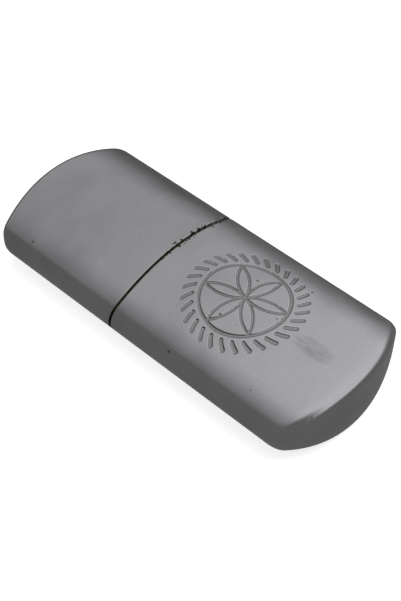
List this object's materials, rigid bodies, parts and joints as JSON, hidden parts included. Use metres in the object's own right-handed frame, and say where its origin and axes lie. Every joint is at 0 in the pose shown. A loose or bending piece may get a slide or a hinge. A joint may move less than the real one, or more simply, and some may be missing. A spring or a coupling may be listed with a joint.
{
  "type": "pocket petrol lighter",
  "caption": "Oval metal pocket lighter lying on its back, with a pull-off cap over a spark wheel and wick, a sliding fuel insert and an engraved rosette badge.",
  "frame": {"origin": "middle of the narrow flat on the back that the closed lighter rests on", "axes": "+X towards the base end, -X towards the cap end, +Y across the width, +Z out of the front face"},
  "size_m": [0.0684, 0.03, 0.0115],
  "materials": {
    "case_plate": "worn polished nickel plate with fine scratches and small pits",
    "cap_plate": "worn polished nickel plate, chipped along the rim",
    "insert_steel": "satin drawn sheet steel",
    "brass": "tarnished brass",
    "wheel_steel": "dark hardened steel, knurled",
    "disc_steel": "satin steel, toothed rim",
    "spring_steel": "drawn wire",
    "flint": "dull dark alloy",
    "wick_cotton": "braided cotton, charred at the tip",
    "cotton": "loose cotton wadding",
    "felt": "pressed wool felt"
  },
  "bodies": {
    "case": {"case_body": "case_plate"},
    "insert": {"insert_tank": "insert_steel", "stop_ring": "brass", "deck_plate": "insert_steel", "windscreen": "insert_steel", "windscreen_rivets": "insert_steel", "flint_tube": "brass", "wick_ferrule": "brass", "wick": "wick_cotton", "cotton_wads": "cotton", "felt_pad": "felt", "wheel_axle": "disc_steel", "axle_washers": "brass"},
    "cap": {"cap_shell": "cap_plate"},
    "wheel": {"spark_wheel": "wheel_steel", "thumb_disc_front": "disc_steel", "thumb_disc_back": "disc_steel"},
    "flint_follower": {"flint": "flint", "spring_tip": "brass"},
    "spring": {"flint_spring": "spring_steel"},
    "screw": {"flint_screw": "brass"}
  },
  "joints": [
    {"name": "insert_slide", "type": "slide", "parent": "case", "child": "insert", "axis": [-1, 0, 0], "range_m": [0, 0.045]},
    {"name": "cap_slide", "type": "slide", "parent": "insert", "child": "cap", "axis": [-1, 0, 0], "range_m": [0, 0.035]},
    {"name": "wheel_spin", "type": "hinge", "parent": "insert", "child": "wheel", "pos_m": [-0.01811, -0.0056, 0.00572], "axis": [0, 0, 1], "continuous": true},
    {"name": "flint_press", "type": "slide", "parent": "insert", "child": "flint_follower", "axis": [1, 0, 0], "range_m": [0, 0.001], "stiffness_N_per_m": 150, "deforming": ["flint_spring"]},
    {"name": "screw_travel", "type": "slide", "parent": "insert", "child": "spring", "axis": [1, 0, 0], "range_m": [0, 0.0025]},
    {"name": "screw_turn", "type": "hinge", "parent": "spring", "child": "screw", "pos_m": [0.0275, -0.0056, 0.00572], "axis": [1, 0, 0], "range_deg": [0, 1805]}
  ],
  "couplings": [
    {"joint": "screw_turn", "follows": "screw_travel", "rad_per_m": 12566}
  ]
}
